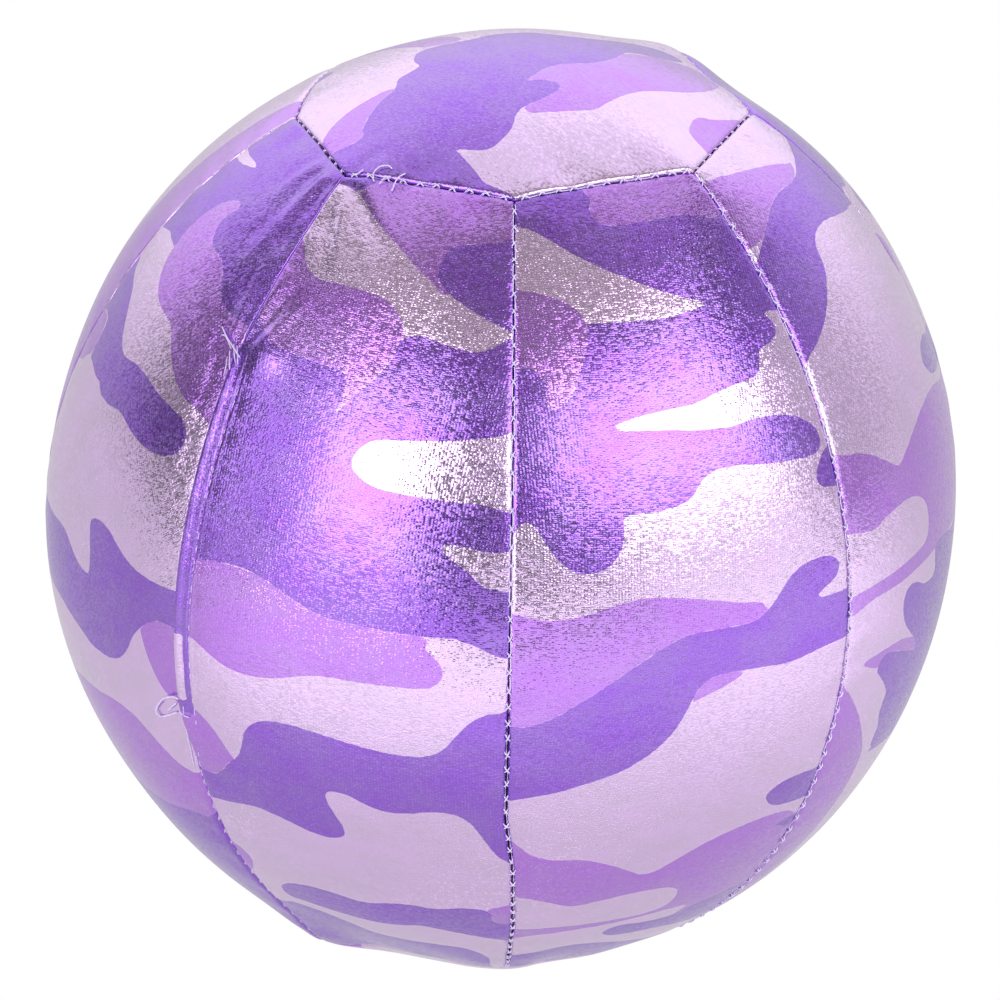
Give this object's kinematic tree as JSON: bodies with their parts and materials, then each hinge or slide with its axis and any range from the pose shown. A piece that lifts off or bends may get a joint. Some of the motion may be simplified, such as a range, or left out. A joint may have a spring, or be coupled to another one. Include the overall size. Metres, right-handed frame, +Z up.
{
  "type": "cloth-covered inflatable play ball",
  "caption": "Round inflatable play ball in a sewn cover of purple camouflage foil cloth, with a hemmed slit that hides the bladder's needle valve.",
  "frame": {"origin": "centre of the rest flat, at the bottom of the ball on its pole axis", "axes": "+Z up along the pole axis from the bottom end panel to the top one; -Y towards the front seam, with the slit one seam to its left"},
  "size_m": [0.2292, 0.2292, 0.2357],
  "materials": {
    "foil_cloth": "woven cloth with a metallic foil print: camouflage in pale silver-pink, lilac and purple",
    "sewing_thread": "twisted polyester thread, pale blue-white",
    "bladder_skin": "smooth dark grey rubber",
    "valve_rubber": "matte mid-grey rubber",
    "insert_rubber": "soft off-white rubber"
  },
  "bodies": {
    "ball": {"gore_panel_1": "foil_cloth", "gore_panel_2": "foil_cloth", "gore_panel_3": "foil_cloth", "gore_panel_4": "foil_cloth", "gore_panel_5": "foil_cloth", "gore_panel_6": "foil_cloth", "gore_panel_7": "foil_cloth", "gore_panel_8": "foil_cloth", "top_cap_panel": "foil_cloth", "bottom_cap_panel": "foil_cloth", "seam_thread_1": "sewing_thread", "seam_thread_2": "sewing_thread", "seam_thread_3": "sewing_thread", "seam_thread_4": "sewing_thread", "seam_thread_5": "sewing_thread", "seam_thread_6": "sewing_thread", "seam_thread_7": "sewing_thread", "seam_thread_8": "sewing_thread", "top_cap_thread": "sewing_thread", "bottom_cap_thread": "sewing_thread", "upper_bartack": "sewing_thread", "lower_bartack": "sewing_thread", "bladder": "bladder_skin", "valve_boot": "valve_rubber", "valve_insert": "insert_rubber"},
    "lip": {"slit_lip": "foil_cloth", "lip_topstitch": "sewing_thread"}
  },
  "joints": [
    {"name": "lip_hinge", "type": "hinge", "parent": "ball", "child": "lip", "pos_m": [-0.06066, -0.0946, 0.13946], "axis": [0.1354, 0.1354, 0.9815], "range_deg": [0, 75], "stiffness_Nm_per_rad": 0.004, "springref_deg": -11.46}
  ]
}
